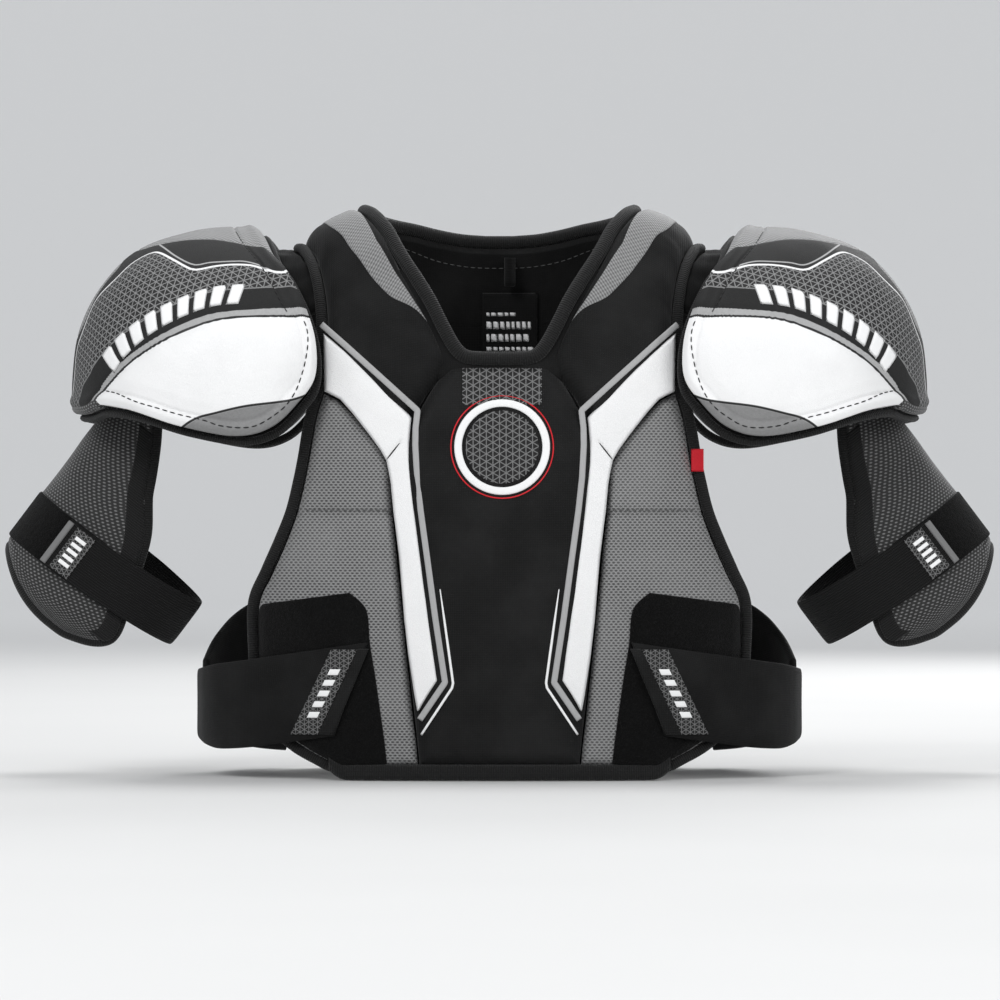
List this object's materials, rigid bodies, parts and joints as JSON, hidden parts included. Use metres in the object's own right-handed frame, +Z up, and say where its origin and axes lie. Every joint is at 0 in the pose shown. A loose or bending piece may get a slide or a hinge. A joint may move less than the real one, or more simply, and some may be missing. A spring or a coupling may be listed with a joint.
{
  "type": "hockey shoulder pads",
  "caption": "Ice hockey shoulder pads: padded chest and back vest with domed shoulder caps, hinged upper arm guards, arm straps and waist straps.",
  "frame": {"origin": "on the floor, below the centre of the pads, which stand upright on their front and back bottom hems", "axes": "+Z up, the wearer faces -Y, the wearer's left is +X"},
  "size_m": [0.672, 0.2398, 0.3769],
  "materials": {
    "liner_cloth": "matte",
    "foam": "matte",
    "plastic_plate": "matte",
    "black_knit": "matte",
    "white_leather": "satin",
    "grey_mesh": "matte",
    "dark_mesh": "matte",
    "binding_tape": "matte",
    "loop_pile": "matte",
    "elastic_web": "matte",
    "label_tape": "satin",
    "print_white": "matte",
    "red_tape": "satin"
  },
  "bodies": {
    "torso": {"chest_liner": "liner_cloth", "chest_foam": "foam", "sternum_plate": "plastic_plate", "chest_cover": "black_knit", "chest_stripes": "white_leather", "chest_badge": "white_leather", "chest_side_foams": "foam", "left_chest_side_cover": "grey_mesh", "right_chest_side_cover": "grey_mesh", "belly_loop_patches": "loop_pile", "left_yoke_foam": "foam", "right_yoke_foam": "foam", "yoke_plates": "plastic_plate", "left_yoke_cover": "black_knit", "right_yoke_cover": "black_knit", "yoke_wings": "white_leather", "neck_binding": "binding_tape", "left_armhole_binding": "binding_tape", "right_armhole_binding": "binding_tape", "hem_bindings": "binding_tape", "back_liner": "liner_cloth", "back_foam": "foam", "spine_plate": "plastic_plate", "back_cover": "black_knit", "left_back_side_pad": "foam", "right_back_side_pad": "foam", "left_back_wing": "black_knit", "right_back_wing": "black_knit", "hang_loop": "elastic_web", "size_label": "print_white", "side_tag": "red_tape", "left_cap_bridge": "black_knit", "right_cap_bridge": "black_knit"},
    "left_cap": {"left_cap_cover": "white_leather", "left_cap_shell": "plastic_plate", "left_cap_liner": "foam", "left_cap_binding": "binding_tape"},
    "left_arm_hanger": {"left_arm_hanger": "elastic_web"},
    "left_arm_guard": {"left_arm_guard_pad": "foam", "left_arm_guard_plate": "plastic_plate", "left_arm_guard_cover": "dark_mesh", "left_arm_loop_patch": "loop_pile"},
    "left_arm_strap": {"left_arm_strap": "elastic_web", "left_arm_strap_label": "label_tape"},
    "left_belly_strap": {"left_belly_strap": "elastic_web", "left_belly_strap_label": "label_tape"},
    "right_cap": {"right_cap_cover": "white_leather", "right_cap_shell": "plastic_plate", "right_cap_liner": "foam", "right_cap_binding": "binding_tape"},
    "right_arm_hanger": {"right_arm_hanger": "elastic_web"},
    "right_arm_guard": {"right_arm_guard_pad": "foam", "right_arm_guard_plate": "plastic_plate", "right_arm_guard_cover": "dark_mesh", "right_arm_loop_patch": "loop_pile"},
    "right_arm_strap": {"right_arm_strap": "elastic_web", "right_arm_strap_label": "label_tape"},
    "right_belly_strap": {"right_belly_strap": "elastic_web", "right_belly_strap_label": "label_tape"}
  },
  "joints": [
    {"name": "left_cap_lift", "type": "hinge", "parent": "torso", "child": "left_cap", "pos_m": [0.16, 0, 0.35], "axis": [0, -1, 0], "range_deg": [0, 55], "deforming": ["left_cap_bridge"]},
    {"name": "left_arm_raise", "type": "hinge", "parent": "left_cap", "child": "left_arm_hanger", "pos_m": [0.248, 0, 0.25], "axis": [0, -1, 0], "range_deg": [-12, 5], "stiffness_Nm_per_rad": 0.6},
    {"name": "left_arm_swing", "type": "hinge", "parent": "left_arm_hanger", "child": "left_arm_guard", "pos_m": [0.248, 0, 0.25], "axis": [0.7986, 0, 0.6018], "range_deg": [-16, 16], "stiffness_Nm_per_rad": 0.4, "deforming": ["left_arm_hanger"]},
    {"name": "left_arm_strap_open", "type": "hinge", "parent": "left_arm_guard", "child": "left_arm_strap", "pos_m": [0.24826, 0.041, 0.13587], "axis": [0.6018, 0, -0.7986], "range_deg": [0, 30]},
    {"name": "left_belly_strap_open", "type": "hinge", "parent": "torso", "child": "left_belly_strap", "pos_m": [0.2006, 0.0014, 0.05], "axis": [0, 0, 1], "range_deg": [0, 100]},
    {"name": "right_cap_lift", "type": "hinge", "parent": "torso", "child": "right_cap", "pos_m": [-0.16, 0, 0.35], "axis": [0, 1, 0], "range_deg": [0, 55], "deforming": ["right_cap_bridge"]},
    {"name": "right_arm_raise", "type": "hinge", "parent": "right_cap", "child": "right_arm_hanger", "pos_m": [-0.248, 0, 0.25], "axis": [0, 1, 0], "range_deg": [-12, 5], "stiffness_Nm_per_rad": 0.6},
    {"name": "right_arm_swing", "type": "hinge", "parent": "right_arm_hanger", "child": "right_arm_guard", "pos_m": [-0.248, 0, 0.25], "axis": [-0.7986, 0, 0.6018], "range_deg": [-16, 16], "stiffness_Nm_per_rad": 0.4, "deforming": ["right_arm_hanger"]},
    {"name": "right_arm_strap_open", "type": "hinge", "parent": "right_arm_guard", "child": "right_arm_strap", "pos_m": [-0.24826, 0.041, 0.13587], "axis": [0.6018, 0, 0.7986], "range_deg": [0, 30]},
    {"name": "right_belly_strap_open", "type": "hinge", "parent": "torso", "child": "right_belly_strap", "pos_m": [-0.2006, 0.0014, 0.05], "axis": [0, 0, -1], "range_deg": [0, 100]}
  ]
}
